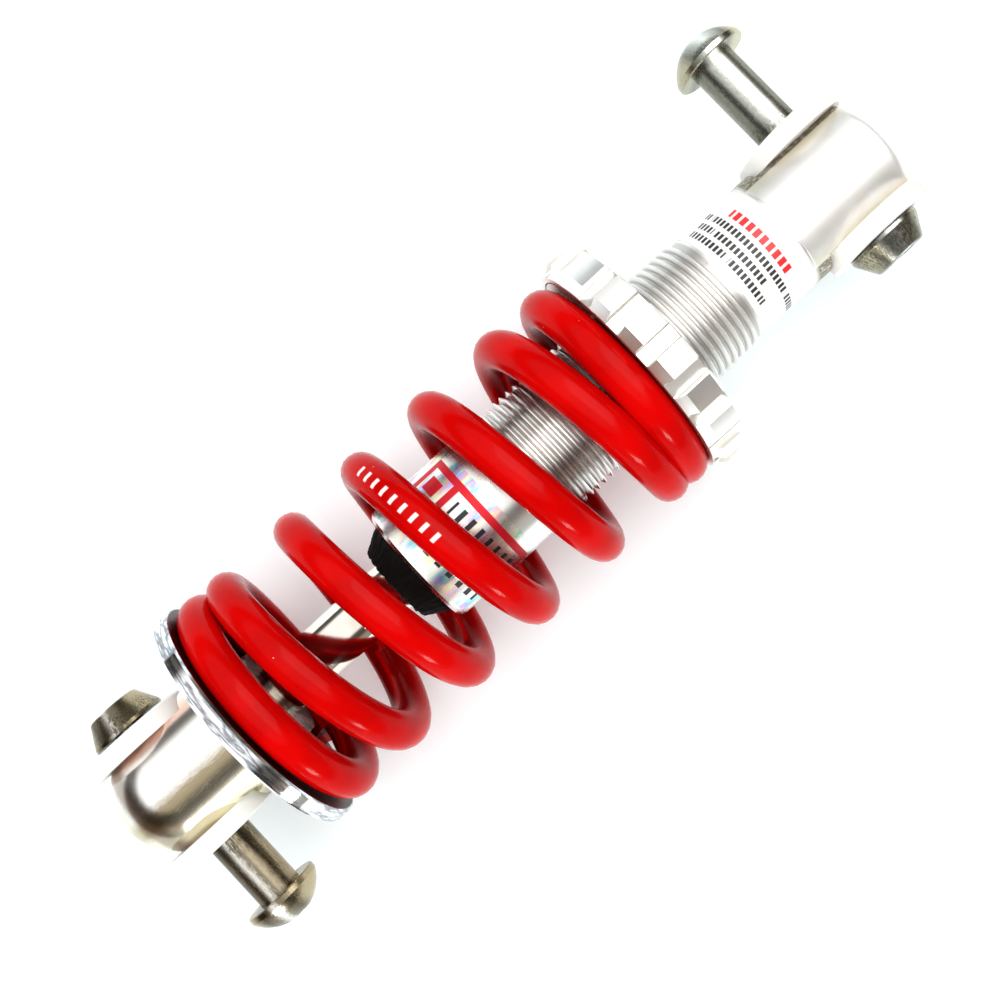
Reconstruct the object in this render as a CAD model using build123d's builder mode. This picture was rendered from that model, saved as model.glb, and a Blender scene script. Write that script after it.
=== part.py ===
from build123d import *
import os
from math import cos, pi, sin

# Coil-over rear shock for a bicycle, lying on its side, fully extended.
# Frame: +X runs along the shock from the lower pivot to the upper pivot, +Y runs along
# the lower pivot bolt, and +Z is up. The origin is the centre of the lower pivot.

# Whole shock
eye_to_eye = 150.0
stroke = 26.0  # it ends a little before the bump stop meets the locknut
upper_eye_twist = -6.0  # degrees about +X, the free turn of the rod in the body

# Fits
running_clearance = 0.05
seated_clearance = 0.02
free_clearance = 0.3

# Lower eye
lower_eye_radius = 11.4
eye_flat_width = 17.7
eye_flat_reach = 10.3  # how far the flats run from the pivot towards the shock
seat_face = 16.0  # where the spring seat rests on the lower eye

# Spring seat and rod
seat_radius = 22.8
seat_thickness = 2.9
seat_edge_chamfer = 0.35
rod_radius = 4.8
rod_socket_wall = 1.0  # between the rod's socket and the eye's cross bore
locknut_across_flats = 17.0
locknut_thickness = 4.0

# Coil spring
wire_diameter = 6.8
coil_seat_radius = 18.9  # of the wire's centre, at the spring seat
coil_nut_radius = 17.9  # and at the preload nut
coil_offset = 0.4  # how far the loose spring sits towards -Y
spring_length = 83.8
dead_pitch = 1.5
lower_dead_turns = 0.6
upper_dead_turns = 0.6
turns_between_seats = 6.0
lower_rise_turns = 0.88
upper_fall_turns = 0.824
upper_flat_turns = 0.176
spring_start_turn = 0.25  # the turn, counted from +Y towards +Z, where the coil first seats
points_per_turn = 16

# Damper body
body_start = 54.2
body_radius = 11.5
body_edge_chamfer = 0.6
plain_length = 21.8  # of the body below its thread
thread_to_pivot = 26.6  # from the thread's end to the upper pivot
thread_pitch = 1.5
thread_depth = 0.85
neck_radius = 10.6
neck_to_pivot = 13.4
upper_eye_radius = 10.7
upper_dome_radius = 17.0
upper_eye_tip = 11.0  # past the upper pivot
upper_dome_fillet = 1.5
end_room = 13.3  # in the cylinder past the rod's end at full stroke

# Labels
label_thickness = 0.1
neck_label_margin = 0.5
foil_offset = 1.2  # from the body's lower face
foil_width = 16.0
foil_wrap = 236.0  # degrees round the body

# Gland and seals
circlip_offset = 1.2
circlip_thickness = 1.2
circlip_groove_depth = 0.6
circlip_width = 1.6
gland_length = 12.0
wiper_wall = 1.7
wiper_pocket_length = 2.4
seal_wall = 2.2
seal_pocket_offset = 3.6
seal_pocket_length = 3.0
guide_bush_wall = 1.0
guide_bush_length = 4.4
o_ring_section_radius = 0.75
o_ring_groove_width = 1.9
o_ring_offset = 9.6

# Bump stop and rebound bumper
bump_stop_length = 4.6
bump_stop_small_wall = 2.0
bump_stop_inset = 1.8  # its wide end inside the body's edge
bumper_length = 4.0

# Piston
fluid_gap = 3.2  # between the rod and the cylinder's bore
spigot_radius = 3.0
shim_thickness = 0.3
shim_insets = (1.0, 2.0, 3.0)  # of each shim inside the cylinder's bore
piston_length = 8.0
piston_port_radius = 1.0
piston_port_circle = 5.2
piston_ports = 6
band_width = 3.0
band_thickness = 1.0
piston_nut_across_flats = 10.0
piston_nut_thickness = 5.0

# Preload washer and nut
nut_radius = 22.9
nut_length = 6.9
nut_lobes = 20
nut_land_share = 0.57  # of one lobe's pitch
nut_first_land = 99.8  # degrees from +Y towards +Z
scallop_depth = 1.7
scallop_corner = 0.45
nut_chamfer = 1.6
nut_collar_wall = 3.05
nut_collar_top_wall = 1.65
nut_collar_height = 1.2
nut_bore_chamfer = 0.9
washer_thickness = 0.6
washer_radius = 20.0
washer_hole_gap = 0.5

# Pivot hardware, the same at both ends
bolt_radius = 4.0
bolt_length = 33.0
bolt_head_overhang = 2.95
bolt_head_height = 5.4
bolt_head_rim = 1.1
bolt_socket_across_flats = 5.0
bolt_socket_depth = 3.0
screw_radius = 3.0
screw_length = 14.0
sleeve_bore_depth = 17.0
cone_base_overhang = 2.75
cone_top_radius = 4.5
cone_height = 4.6
cone_lip = 0.6
flange_radius = 10.0
flange_thickness = 3.2
flange_chamfer = 0.35
bush_barrel_length = 8.0
spacer_wall = 0.95
bush_wall = 0.98
spacer_stand = 0.05  # how far the spacer stands past each flange
lower_head_gap = 12.8
upper_head_gap = 17.2
lower_cone_gap = 0.6
upper_cone_gap = 0.3

# Worked out from the sizes above
seat_top = seat_face + seat_thickness
spring_top = seat_top + spring_length
half_flat = eye_flat_width / 2
spacer_radius = bolt_radius + running_clearance + spacer_wall
eye_bore_radius = spacer_radius + seated_clearance + bush_wall
rod_thread_depth = seat_face - eye_bore_radius - rod_socket_wall
bolt_head_radius = bolt_radius + bolt_head_overhang
cone_base_radius = bolt_radius + cone_base_overhang
flange_face = half_flat + seated_clearance + flange_thickness
cylinder_bore_radius = rod_radius + fluid_gap
bore_plug_radius = cylinder_bore_radius - seated_clearance
wiper_pocket_radius = rod_radius + wiper_wall
seal_pocket_radius = rod_radius + seal_wall
guide_bush_radius = rod_radius + guide_bush_wall
circlip_groove_radius = cylinder_bore_radius + circlip_groove_depth
circlip_inner_radius = circlip_groove_radius - circlip_width
shim_radii = [cylinder_bore_radius - inset for inset in shim_insets]
gland_start = body_start + circlip_offset + circlip_thickness
gland_end = gland_start + gland_length
bumper_end = gland_end + bumper_length
piston_stack_start = bumper_end + free_clearance
shim_stack = shim_thickness * len(shim_radii)
piston_start = piston_stack_start + shim_stack
piston_end = piston_start + piston_length
piston_nut_start = piston_end + shim_stack
piston_radius = cylinder_bore_radius - free_clearance - running_clearance
band_start = piston_start + (piston_length - band_width) / 2
rod_end = piston_nut_start + piston_nut_thickness + 1.0
bump_stop_start = body_start - bump_stop_length
rod_pass_radius = rod_radius + free_clearance
bump_stop_small_radius = rod_pass_radius + bump_stop_small_wall
bump_stop_large_radius = body_radius - bump_stop_inset
thread_start = body_start + plain_length
thread_end = eye_to_eye - thread_to_pivot
thread_root_radius = body_radius - thread_depth
neck_end = eye_to_eye - neck_to_pivot
cylinder_end = rod_end + stroke + end_room
upper_label_start = thread_end + neck_label_margin
upper_label_end = neck_end - neck_label_margin
foil_start = body_start + foil_offset
rod_seal_radius = rod_radius + running_clearance

os.makedirs("parts", exist_ok=True)


def outline(*points):
    """A closed outline of straight sides, with x along the shock and y as the radius."""
    with BuildSketch(Plane.XY) as shape:
        with BuildLine():
            Polyline(*points, close=True)
        make_face()
    return shape.sketch


def ring(start, end, inner, outer):
    """The outline of a plain ring round the shock's axis."""
    return outline((start, inner), (end, inner), (end, outer), (start, outer))


def save(piece, name):
    piece.label = name
    export_step(piece, f"parts/{name}.step")


def pivot_plane(pivot_x, side):
    """A plane through a pivot whose local y runs outwards along the bolt on one side."""
    return Plane(origin=(pivot_x, 0, 0), x_dir=(1, 0, 0), z_dir=(0, 0, side))


def pivot_axis(pivot_x):
    return Axis((pivot_x, 0, 0), (0, 1, 0))


def across_plane(pivot_x, side, height):
    """A plane square to the bolt, at a height from the pivot on one side."""
    return Plane(origin=(pivot_x, side * height, 0), x_dir=(1, 0, 0), z_dir=(0, side, 0))


# Lower eye: a round bar with a ball end, two flats, a cross bore and a socket for the rod
with BuildPart() as lower_eye:
    with BuildSketch(Plane.XY):
        with BuildLine():
            CenterArc((0, 0), lower_eye_radius, 90, 90)
            Polyline(
                (-lower_eye_radius, 0),
                (seat_face, 0),
                (seat_face, lower_eye_radius - seat_edge_chamfer),
                (seat_face - seat_edge_chamfer, lower_eye_radius),
                (0, lower_eye_radius),
            )
        make_face()
    revolve(axis=Axis.X)
    flat_length = lower_eye_radius + eye_flat_reach
    for side in (-1, 1):
        with BuildSketch(Plane.XZ.offset(side * half_flat)):
            with Locations((eye_flat_reach - flat_length / 2, 0)):
                Rectangle(flat_length, 2 * lower_eye_radius)
        extrude(amount=side * lower_eye_radius, mode=Mode.SUBTRACT)
    with BuildSketch(Plane.XZ):
        Circle(eye_bore_radius + running_clearance)
    extrude(amount=lower_eye_radius, both=True, mode=Mode.SUBTRACT)
    with BuildSketch(Plane.YZ.offset(seat_face)):
        Circle(rod_radius + seated_clearance)
    extrude(amount=-rod_thread_depth, mode=Mode.SUBTRACT)
save(lower_eye.part, "lower_eye")

# Spring seat: a plain disc clamped between the eye and the locknut
with BuildPart() as spring_seat:
    with BuildSketch(Plane.YZ.offset(seat_face)):
        Circle(seat_radius)
        Circle(rod_radius + seated_clearance, mode=Mode.SUBTRACT)
    extrude(amount=seat_thickness)
    outer_edges = spring_seat.edges().filter_by(GeomType.CIRCLE).sort_by(SortBy.RADIUS)[-2:]
    chamfer(outer_edges, seat_edge_chamfer)
save(spring_seat.part, "spring_seat")


def hex_nut(start, across_flats, thickness, hole_radius):
    """A hexagon nut round the shock's axis with both faces turned down to the flats."""
    with BuildPart() as nut:
        with BuildSketch(Plane.YZ.offset(start)):
            RegularPolygon(across_flats / 2, 6, major_radius=False, rotation=30)
            Circle(hole_radius, mode=Mode.SUBTRACT)
        extrude(amount=thickness)
        corner = across_flats / 2 / cos(pi / 6)
        turned_down = (corner - across_flats / 2) * 0.6
        blank = outline(
            (start, 0),
            (start + thickness, 0),
            (start + thickness, across_flats / 2),
            (start + thickness - turned_down, corner),
            (start + turned_down, corner),
            (start, across_flats / 2),
        )
        revolve(blank, axis=Axis.X, mode=Mode.INTERSECT)
    return nut.part


save(
    hex_nut(seat_top, locknut_across_flats, locknut_thickness, rod_radius + seated_clearance),
    "rod_locknut",
)

# Piston rod, with a thin spigot that carries the piston
with BuildPart() as piston_rod:
    rod_start = seat_face - rod_thread_depth + free_clearance
    edge = 0.4
    revolve(
        outline(
            (rod_start, 0),
            (rod_end, 0),
            (rod_end, spigot_radius - edge),
            (rod_end - edge, spigot_radius),
            (piston_stack_start, spigot_radius),
            (piston_stack_start, rod_radius - edge),
            (piston_stack_start - edge, rod_radius),
            (rod_start + edge, rod_radius),
            (rod_start, rod_radius - edge),
        ),
        axis=Axis.X,
    )
save(piston_rod.part, "piston_rod")

# Piston shims: two stacks of thin rings, widest against the piston
shims = []
for number, radius in enumerate(shim_radii):
    rebound_start = piston_start - (number + 1) * shim_thickness
    compression_start = piston_end + number * shim_thickness
    for start in (rebound_start, compression_start):
        with BuildPart() as shim:
            with BuildSketch(Plane.YZ.offset(start)):
                Circle(radius)
                Circle(spigot_radius + seated_clearance, mode=Mode.SUBTRACT)
            extrude(amount=shim_thickness)
        shims.append(shim.part)
save(Compound(children=shims), "piston_shims")

# Piston, ported, with a groove for its band
with BuildPart() as piston:
    groove_radius = cylinder_bore_radius - 2 * running_clearance - band_thickness
    inner = spigot_radius + seated_clearance
    revolve(
        outline(
            (piston_start, inner),
            (piston_end, inner),
            (piston_end, piston_radius),
            (band_start + band_width + running_clearance, piston_radius),
            (band_start + band_width + running_clearance, groove_radius),
            (band_start - running_clearance, groove_radius),
            (band_start - running_clearance, piston_radius),
            (piston_start, piston_radius),
        ),
        axis=Axis.X,
    )
    with Locations(Plane.YZ.offset(piston_start)):
        with PolarLocations(piston_port_circle, piston_ports):
            Cylinder(
                piston_port_radius,
                piston_length,
                align=(Align.CENTER, Align.CENTER, Align.MIN),
                mode=Mode.SUBTRACT,
            )
save(piston.part, "piston")

with BuildPart() as piston_band:
    band_outer = cylinder_bore_radius - running_clearance
    revolve(
        ring(band_start, band_start + band_width, band_outer - band_thickness, band_outer),
        axis=Axis.X,
    )
save(piston_band.part, "piston_band")

save(
    hex_nut(
        piston_nut_start,
        piston_nut_across_flats,
        piston_nut_thickness,
        spigot_radius + seated_clearance,
    ),
    "piston_nut",
)

# Damper body: one turned bar with a threaded middle, a label neck and the upper eye
with BuildPart() as damper_body:
    tip = eye_to_eye + upper_eye_tip
    dome_centre = tip - upper_dome_radius
    dome_start = dome_centre + (upper_dome_radius**2 - upper_eye_radius**2) ** 0.5
    groove_start = body_start + circlip_offset
    with BuildSketch(Plane.XY):
        with BuildLine():
            Polyline(
                (dome_start, upper_eye_radius),
                (neck_end, upper_eye_radius),
                (neck_end, neck_radius),
                (thread_end, neck_radius),
                (thread_end, thread_root_radius),
                (thread_start, thread_root_radius),
                (thread_start, body_radius - body_edge_chamfer),
                (thread_start - body_edge_chamfer, body_radius),
                (body_start + body_edge_chamfer, body_radius),
                (body_start, body_radius - body_edge_chamfer),
                (body_start, cylinder_bore_radius),
                (groove_start, cylinder_bore_radius),
                (groove_start, circlip_groove_radius),
                (groove_start + circlip_thickness, circlip_groove_radius),
                (groove_start + circlip_thickness, cylinder_bore_radius),
                (cylinder_end, cylinder_bore_radius),
                (cylinder_end, 0),
                (tip, 0),
            )
            RadiusArc((dome_start, upper_eye_radius), (tip, 0), upper_dome_radius)
        make_face()
    revolve(axis=Axis.X)
    dome_edge = damper_body.edges().filter_by(GeomType.CIRCLE).filter_by(
        lambda edge: abs(edge.center().X - dome_start) < 0.01
    )
    fillet(dome_edge, upper_dome_fillet)
    flat_length = upper_eye_tip + eye_flat_reach
    for side in (-1, 1):
        with BuildSketch(Plane.XZ.offset(side * half_flat)):
            with Locations((tip - flat_length / 2, 0)):
                Rectangle(flat_length, 2 * upper_eye_radius)
        extrude(amount=side * upper_eye_radius, mode=Mode.SUBTRACT)
    with BuildSketch(Plane.XZ):
        with Locations((eye_to_eye, 0)):
            Circle(eye_bore_radius + running_clearance)
    extrude(amount=upper_eye_radius, both=True, mode=Mode.SUBTRACT)
    crest_radius = body_radius
    ridge_start = thread_start + thread_pitch / 2
    with BuildLine(mode=Mode.PRIVATE) as ridge_path:
        Helix(
            pitch=thread_pitch,
            height=thread_end - thread_start - thread_pitch,
            radius=thread_root_radius,
            center=(ridge_start, 0, 0),
            direction=(1, 0, 0),
        )
    ridge_line = ridge_path.line
    ridge_plane = Plane(origin=ridge_line @ 0, x_dir=(1, 0, 0), z_dir=ridge_line % 0)
    ridge_height = crest_radius - thread_root_radius
    with BuildSketch(ridge_plane):
        with BuildLine():
            Polyline(
                (-0.41 * thread_pitch, -0.05),
                (-0.06 * thread_pitch, ridge_height),
                (0.06 * thread_pitch, ridge_height),
                (0.41 * thread_pitch, -0.05),
                close=True,
            )
        make_face()
    sweep(path=ridge_line, is_frenet=True)
save(damper_body.part.rotate(Axis.X, upper_eye_twist), "damper_body")

# Labels: a full band round the neck and a part wrap round the plain end of the body
with BuildPart() as upper_label:
    revolve(
        ring(
            upper_label_start,
            upper_label_end,
            neck_radius,
            neck_radius + label_thickness,
        ),
        axis=Axis.X,
    )
save(upper_label.part, "upper_label")

with BuildPart() as foil_label:
    revolve(
        ring(foil_start, foil_start + foil_width, body_radius, body_radius + label_thickness).rotate(
            Axis.X, 90 - foil_wrap / 2
        ),
        axis=Axis.X,
        revolution_arc=foil_wrap,
    )
save(foil_label.part, "foil_label")

# Circlip: an open ring in its groove
with BuildPart() as circlip:
    clip_radius = circlip_groove_radius - seated_clearance
    with BuildSketch(Plane.YZ.offset(body_start + circlip_offset + seated_clearance)):
        Circle(clip_radius)
        Circle(circlip_inner_radius, mode=Mode.SUBTRACT)
        with Locations((0, -clip_radius)):
            Rectangle(2.4, 2 * clip_radius, mode=Mode.SUBTRACT)
    extrude(amount=circlip_thickness - 2 * seated_clearance)
save(circlip.part, "circlip")

# Gland: it guides the rod and holds the wiper, the seal, the bush and the ring seal
wiper_end = gland_start + wiper_pocket_length
seal_start = gland_start + seal_pocket_offset
seal_end = seal_start + seal_pocket_length
bush_start = gland_end - guide_bush_length
o_ring_centre = gland_start + o_ring_offset
o_ring_centre_radius = cylinder_bore_radius - o_ring_section_radius
with BuildPart() as gland:
    groove_bottom = cylinder_bore_radius - 2 * o_ring_section_radius
    revolve(
        outline(
            (gland_start, wiper_pocket_radius),
            (wiper_end, wiper_pocket_radius),
            (wiper_end, rod_pass_radius),
            (seal_start, rod_pass_radius),
            (seal_start, seal_pocket_radius),
            (seal_end, seal_pocket_radius),
            (seal_end, rod_pass_radius),
            (bush_start, rod_pass_radius),
            (bush_start, guide_bush_radius),
            (gland_end, guide_bush_radius),
            (gland_end, bore_plug_radius),
            (o_ring_centre + o_ring_groove_width / 2, bore_plug_radius),
            (o_ring_centre + o_ring_groove_width / 2, groove_bottom),
            (o_ring_centre - o_ring_groove_width / 2, groove_bottom),
            (o_ring_centre - o_ring_groove_width / 2, bore_plug_radius),
            (gland_start, bore_plug_radius),
        ),
        axis=Axis.X,
    )
save(gland.part, "gland")

with BuildPart() as dust_wiper:
    lip_back = 0.8
    revolve(
        outline(
            (gland_start, rod_seal_radius),
            (gland_start + lip_back, rod_seal_radius),
            (gland_start + 2 * lip_back, rod_pass_radius),
            (wiper_end, rod_pass_radius),
            (wiper_end, wiper_pocket_radius - seated_clearance),
            (gland_start, wiper_pocket_radius - seated_clearance),
        ),
        axis=Axis.X,
    )
save(dust_wiper.part, "dust_wiper")

with BuildPart() as rod_seal:
    lip_width = seal_pocket_length / 3
    revolve(
        outline(
            (seal_start + seated_clearance, rod_pass_radius),
            (seal_start + lip_width, rod_seal_radius),
            (seal_end - lip_width, rod_seal_radius),
            (seal_end - seated_clearance, rod_pass_radius),
            (seal_end - seated_clearance, seal_pocket_radius - seated_clearance),
            (seal_start + seated_clearance, seal_pocket_radius - seated_clearance),
        ),
        axis=Axis.X,
    )
save(rod_seal.part, "rod_seal")

with BuildPart() as gland_bush:
    revolve(
        ring(
            bush_start + seated_clearance,
            gland_end,
            rod_seal_radius,
            guide_bush_radius - seated_clearance,
        ),
        axis=Axis.X,
    )
save(gland_bush.part, "gland_bush")

with BuildPart() as gland_o_ring:
    with BuildSketch(Plane.XY):
        with Locations((o_ring_centre, o_ring_centre_radius)):
            Circle(o_ring_section_radius - seated_clearance)
    revolve(axis=Axis.X)
save(gland_o_ring.part, "gland_o_ring")

# Rebound bumper inside the body, and the bump stop under the body's face
with BuildPart() as rebound_bumper:
    revolve(
        ring(gland_end, bumper_end, rod_pass_radius, shim_radii[0]),
        axis=Axis.X,
    )
    outer_edges = rebound_bumper.edges().filter_by(GeomType.CIRCLE).sort_by(SortBy.RADIUS)[-2:]
    chamfer(outer_edges, 0.6)
save(rebound_bumper.part, "rebound_bumper")

with BuildPart() as bump_stop:
    with BuildSketch(Plane.XY):
        with BuildLine():
            shoulder = bump_stop_start + 0.25 * bump_stop_length
            Line((body_start, rod_pass_radius), (bump_stop_start, rod_pass_radius))
            Line(
                (bump_stop_start, rod_pass_radius),
                (bump_stop_start, bump_stop_small_radius),
            )
            Spline(
                (bump_stop_start, bump_stop_small_radius),
                (shoulder, (bump_stop_small_radius + bump_stop_large_radius) / 2),
                (body_start - 0.9, bump_stop_large_radius),
                (body_start, bump_stop_large_radius - 0.25),
            )
            Line(
                (body_start, bump_stop_large_radius - 0.25),
                (body_start, rod_pass_radius),
            )
        make_face()
    revolve(axis=Axis.X)
save(bump_stop.part, "bump_stop")

# Coil spring: the pitch climbs from the dead coil to the active coils and falls again
flat_turns = turns_between_seats - upper_fall_turns - upper_flat_turns
full_turns = flat_turns - lower_rise_turns / 2 + upper_fall_turns / 2
seated_turns = turns_between_seats - full_turns
active_pitch = (spring_length - wire_diameter - dead_pitch * seated_turns) / full_turns


def risen(turn):
    """How far the wire's centre has risen above its seated height after some turns."""
    if turn <= 0:
        return dead_pitch * turn
    climb = min(turn, lower_rise_turns)
    height = dead_pitch * climb + (active_pitch - dead_pitch) * climb**2 / 2 / lower_rise_turns
    height += active_pitch * max(0.0, min(turn, flat_turns) - lower_rise_turns)
    fall = min(max(0.0, turn - flat_turns), upper_fall_turns)
    height += active_pitch * fall - (active_pitch - dead_pitch) * fall**2 / 2 / upper_fall_turns
    return height + dead_pitch * max(0.0, turn - flat_turns - upper_fall_turns)


def wire_point(turn):
    angle = 2 * pi * (turn + spring_start_turn)
    height = seat_top + wire_diameter / 2 + risen(turn)
    radius = coil_seat_radius + (coil_nut_radius - coil_seat_radius) * turn / turns_between_seats
    return (height, radius * cos(angle) - coil_offset, radius * sin(angle))


with BuildPart() as coil_spring:
    wire_turns = lower_dead_turns + turns_between_seats + upper_dead_turns
    steps = round(wire_turns * points_per_turn)
    turns = [wire_turns * step / steps - lower_dead_turns for step in range(steps + 1)]
    with BuildLine() as wire:
        Spline(*[wire_point(turn) for turn in turns])
    with BuildSketch(Plane(origin=wire.line @ 0, z_dir=wire.line % 0)):
        Circle(wire_diameter / 2)
    sweep(path=wire.line)
    split(bisect_by=Plane.YZ.offset(seat_top), keep=Keep.TOP)
    split(bisect_by=Plane.YZ.offset(spring_top), keep=Keep.BOTTOM)
save(coil_spring.part, "coil_spring")

# Preload washer, between the spring and the nut
with BuildPart() as preload_washer:
    revolve(
        ring(spring_top, spring_top + washer_thickness, body_radius + washer_hole_gap, washer_radius),
        axis=Axis.X,
    )
save(preload_washer.part, "preload_washer")

# Preload nut: a lobed collar that screws along the body
with BuildPart() as preload_nut:
    nut_end = spring_top + nut_length
    nut_bore = body_radius + running_clearance
    recess_floor = spring_top + washer_thickness + seated_clearance
    recess_radius = washer_radius + free_clearance
    revolve(
        outline(
            (recess_floor, nut_bore),
            (nut_end + nut_collar_height - nut_bore_chamfer, nut_bore),
            (nut_end + nut_collar_height, nut_bore + nut_bore_chamfer),
            (nut_end + nut_collar_height, nut_bore + nut_collar_top_wall),
            (nut_end, nut_bore + nut_collar_wall),
            (nut_end, nut_radius - 0.5),
            (nut_end - 0.5, nut_radius),
            (spring_top + nut_chamfer, nut_radius),
            (spring_top, nut_radius - nut_chamfer),
            (spring_top, recess_radius),
            (recess_floor, recess_radius),
        ),
        axis=Axis.X,
    )
    lobe_pitch = 360 / nut_lobes
    scallop_width = 2 * nut_radius * sin(pi / nut_lobes * (1 - nut_land_share))
    with BuildSketch(Plane.YZ.offset(spring_top)):
        with PolarLocations(nut_radius, nut_lobes, start_angle=nut_first_land + lobe_pitch / 2):
            RectangleRounded(2 * scallop_depth, scallop_width, scallop_corner)
    extrude(amount=nut_length, mode=Mode.SUBTRACT)
save(preload_nut.part, "preload_nut")


def flanged_bush(pivot_x, side):
    """A nylon bush with its flange against one flat of an eye."""
    with BuildPart() as bush:
        barrel_end = half_flat - bush_barrel_length
        flange_foot = half_flat + seated_clearance
        inner = spacer_radius + seated_clearance
        with BuildSketch(pivot_plane(pivot_x, side)):
            with BuildLine():
                Polyline(
                    (inner, barrel_end),
                    (eye_bore_radius, barrel_end),
                    (eye_bore_radius, flange_foot),
                    (flange_radius, flange_foot),
                    (flange_radius, flange_face - flange_chamfer),
                    (flange_radius - flange_chamfer, flange_face),
                    (inner, flange_face),
                    close=True,
                )
            make_face()
        revolve(axis=pivot_axis(pivot_x))
    return bush.part


def spacer_tube(pivot_x):
    """The steel tube that the frame's tabs clamp, a touch longer than the bushes."""
    with BuildPart() as spacer:
        with BuildSketch(Plane.XZ.offset(-flange_face - spacer_stand)):
            with Locations((pivot_x, 0)):
                Circle(spacer_radius)
                Circle(bolt_radius + running_clearance, mode=Mode.SUBTRACT)
        extrude(amount=2 * (flange_face + spacer_stand))
    return spacer.part


def sleeve_bolt(pivot_x, side, head_gap):
    """A domed bolt with a tapped sleeve, its head a gap away from the flange."""
    under_head = flange_face + head_gap
    sleeve_end = under_head - bolt_length
    head_top = under_head + bolt_head_height
    with BuildPart() as bolt:
        with BuildSketch(pivot_plane(pivot_x, side)):
            with BuildLine():
                Polyline(
                    (0, head_top),
                    (0, sleeve_end + sleeve_bore_depth),
                    (screw_radius + seated_clearance, sleeve_end + sleeve_bore_depth),
                    (screw_radius + seated_clearance, sleeve_end),
                    (bolt_radius - 0.3, sleeve_end),
                    (bolt_radius, sleeve_end + 0.3),
                    (bolt_radius, under_head),
                    (bolt_head_radius - 0.2, under_head),
                    (bolt_head_radius, under_head + 0.2),
                    (bolt_head_radius, under_head + bolt_head_rim),
                )
                dome_height = bolt_head_height - bolt_head_rim
                dome_radius = (bolt_head_radius**2 + dome_height**2) / 2 / dome_height
                RadiusArc(
                    (bolt_head_radius, under_head + bolt_head_rim),
                    (0, head_top),
                    -dome_radius,
                )
            make_face()
        revolve(axis=pivot_axis(pivot_x))
        with BuildSketch(across_plane(pivot_x, side, head_top)):
            RegularPolygon(bolt_socket_across_flats / 2, 6, major_radius=False)
        extrude(amount=-bolt_socket_depth, mode=Mode.SUBTRACT)
    return bolt.part


def cone_screw(pivot_x, side, cone_gap):
    """The screw that closes the sleeve, with a cone head that centres in the frame."""
    base = flange_face + cone_gap
    top = base + cone_height
    shank_end = base - screw_length
    with BuildPart() as screw:
        with BuildSketch(pivot_plane(pivot_x, side)):
            with BuildLine():
                Polyline(
                    (0, top),
                    (0, shank_end),
                    (screw_radius - 0.5, shank_end),
                    (screw_radius, shank_end + 0.5),
                    (screw_radius, base),
                    (cone_base_radius, base),
                    (cone_base_radius, base + cone_lip),
                    (cone_top_radius + 0.2, top - 0.2),
                    (cone_top_radius - 0.2, top),
                    close=True,
                )
            make_face()
        revolve(axis=pivot_axis(pivot_x))
        with BuildSketch(across_plane(pivot_x, side, top)):
            RegularPolygon(bolt_socket_across_flats / 2, 6, major_radius=False)
        extrude(amount=-bolt_socket_depth, mode=Mode.SUBTRACT)
    return screw.part


# Pivot hardware: at the lower eye the bolt's head is on -Y, at the upper eye on +Y
ends = (
    ("lower", 0.0, 0.0, -1, lower_head_gap, lower_cone_gap),
    ("upper", eye_to_eye, upper_eye_twist, 1, upper_head_gap, upper_cone_gap),
)
for end, pivot_x, twist, head_side, head_gap, cone_gap in ends:
    hardware = {
        "bush_left": flanged_bush(pivot_x, 1),
        "bush_right": flanged_bush(pivot_x, -1),
        "spacer": spacer_tube(pivot_x),
        "sleeve_bolt": sleeve_bolt(pivot_x, head_side, head_gap),
        "cone_screw": cone_screw(pivot_x, -head_side, cone_gap),
    }
    for name, piece in hardware.items():
        save(piece.rotate(Axis.X, twist), f"{end}_{name}")
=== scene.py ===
import math

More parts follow.
